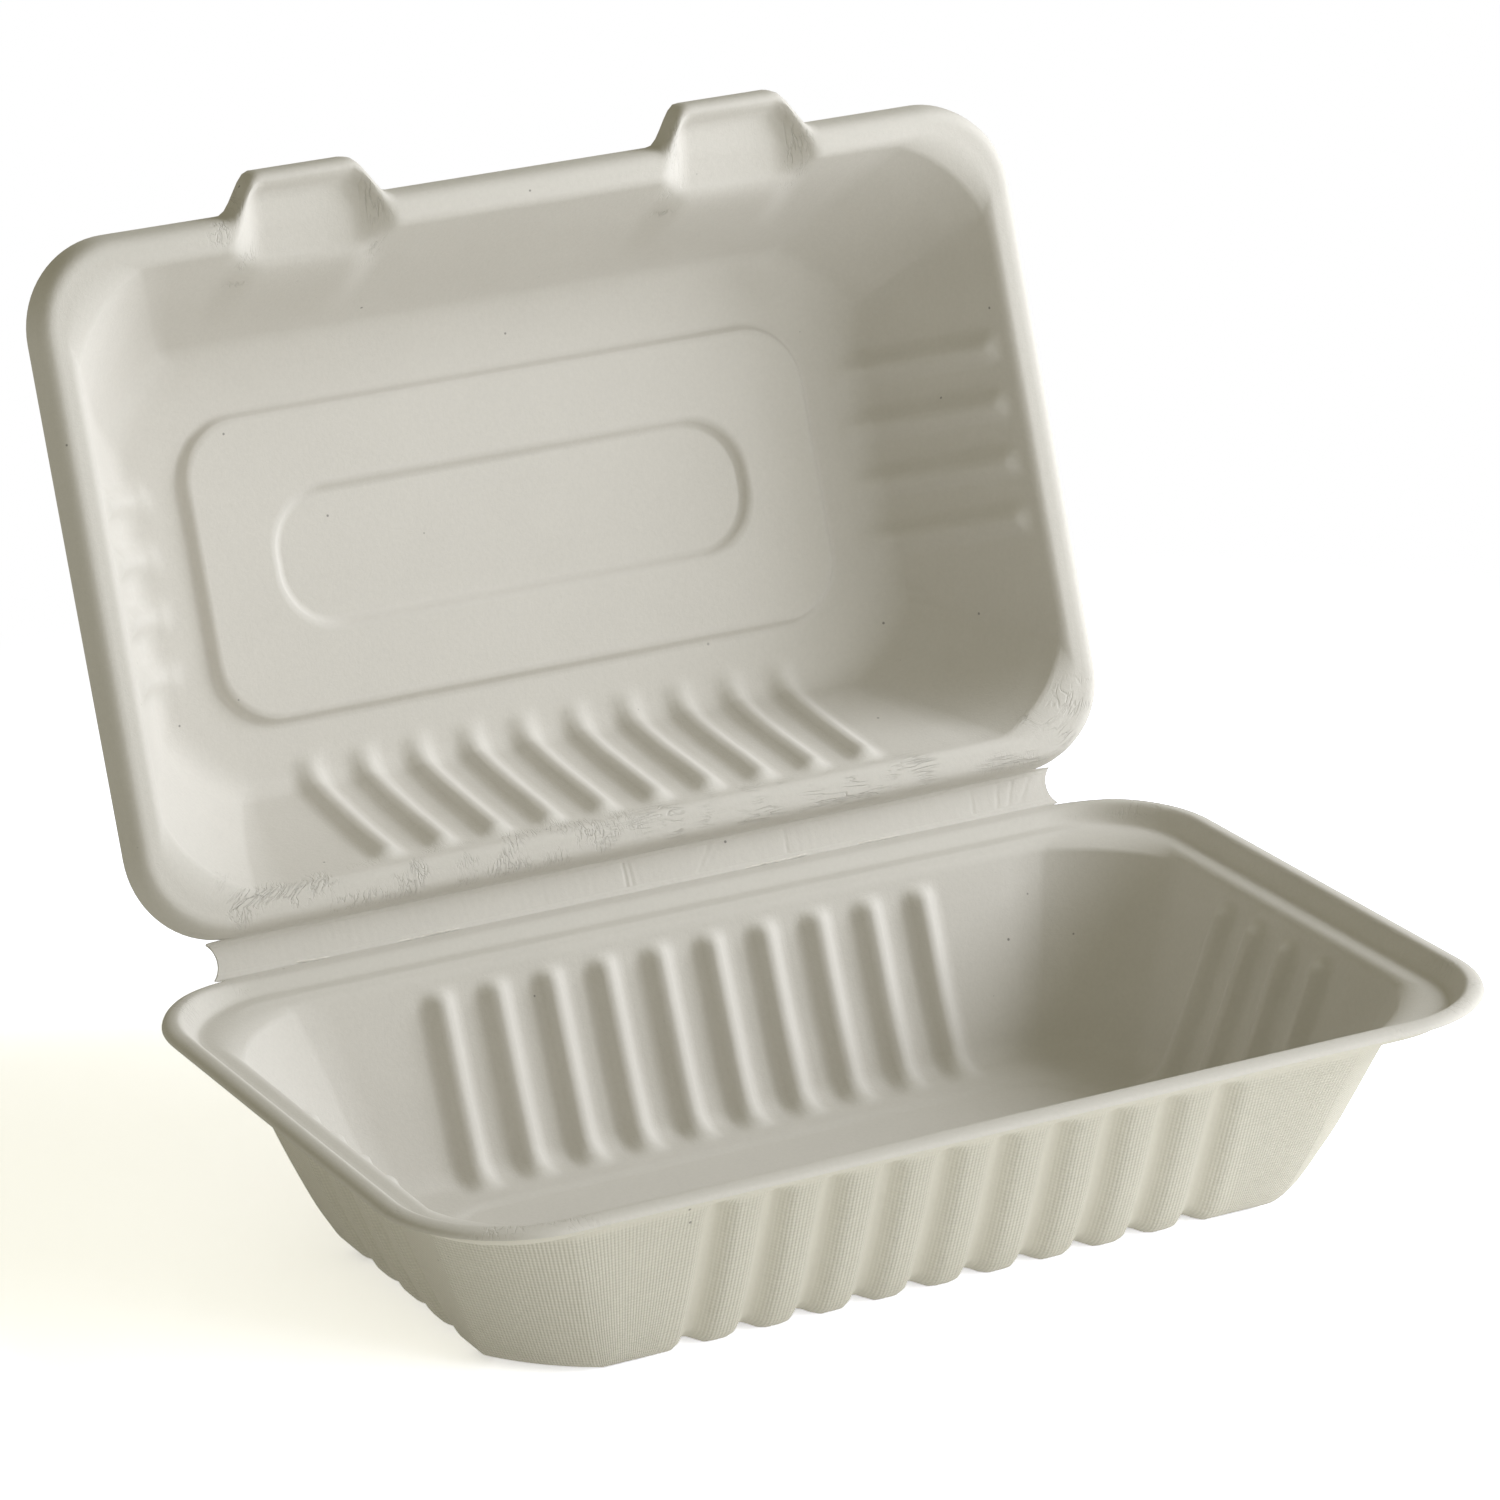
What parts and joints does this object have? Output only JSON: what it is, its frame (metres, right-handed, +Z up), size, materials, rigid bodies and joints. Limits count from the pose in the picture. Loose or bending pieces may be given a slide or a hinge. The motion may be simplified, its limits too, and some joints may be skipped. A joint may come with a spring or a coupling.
{
  "type": "hinged takeout container",
  "caption": "Moulded plant-fibre takeout container with a ribbed rectangular tray, a hinged lid standing open and lock tabs on the lid's front edge.",
  "frame": {"origin": "middle of the tray's flat underside", "axes": "+X along the hinge, +Y from the tray's front to the hinge, +Z up"},
  "size_m": [0.232, 0.2186, 0.1902],
  "materials": {
    "pulp_tray": "matte moulded plant-fibre pulp, unbleached warm grey, smooth inside and mesh-textured outside",
    "pulp_strip": "matte moulded pulp, pressed flat between two folds",
    "pulp_lid": "matte moulded plant-fibre pulp, unbleached warm grey, smooth inside and mesh-textured outside"
  },
  "bodies": {
    "tray": {"tray": "pulp_tray"},
    "hinge_strip": {"hinge_strip": "pulp_strip"},
    "lid": {"lid": "pulp_lid"}
  },
  "joints": [
    {"name": "base_fold", "type": "hinge", "parent": "tray", "child": "hinge_strip", "pos_m": [0, 0.0739, 0.0425], "axis": [1, 0, 0], "range_deg": [-62, 28]},
    {"name": "lid_fold", "type": "hinge", "parent": "hinge_strip", "child": "lid", "pos_m": [0, 0.07747, 0.04921], "axis": [1, 0, 0], "range_deg": [-9.5, 80.5]}
  ]
}
